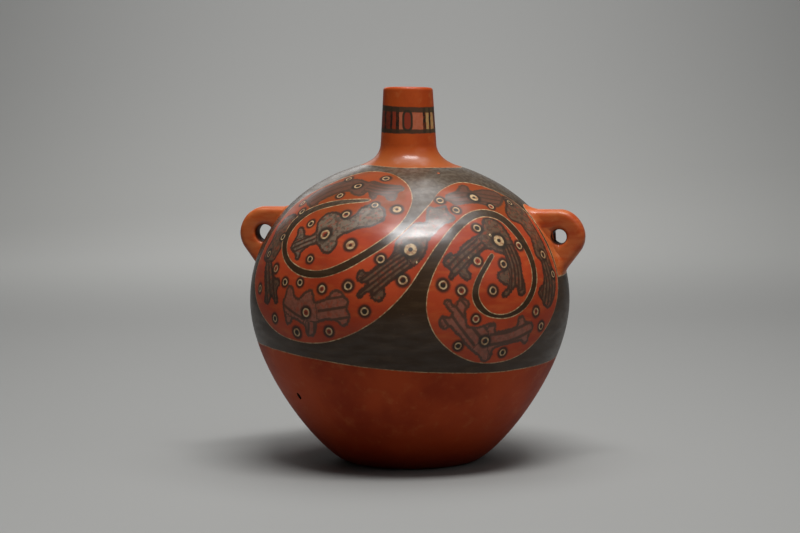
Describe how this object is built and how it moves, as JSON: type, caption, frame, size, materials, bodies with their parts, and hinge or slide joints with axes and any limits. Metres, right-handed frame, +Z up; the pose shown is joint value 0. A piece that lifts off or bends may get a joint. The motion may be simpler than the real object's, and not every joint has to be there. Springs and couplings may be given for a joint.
{
  "type": "globular jar",
  "caption": "Round-bodied earthenware jar with a small flat foot, a narrow upright neck and pierced lugs on the shoulder for a carrying cord.",
  "frame": {"origin": "middle of the flat foot, on the surface that the jar stands on", "axes": "+Z up along the neck, +X through the right lug, -Y towards the painted front"},
  "size_m": [0.227, 0.2056, 0.24],
  "materials": {
    "red_slip": "burnished red-brown slip on fired clay, satin",
    "painted_slip": "burnished black slip with red, cream and grey painted ornament, satin",
    "orange_slip": "burnished orange-red slip on fired clay, satin"
  },
  "bodies": {
    "root": {"base_dish": "red_slip", "lower_wall": "red_slip", "shoulder_dome": "painted_slip", "neck_tube": "orange_slip", "neck_luting_coil": "orange_slip", "right_lug": "orange_slip", "left_lug": "orange_slip", "right_lug_luting_coil": "orange_slip", "left_lug_luting_coil": "orange_slip"}
  },
  "joints": []
}
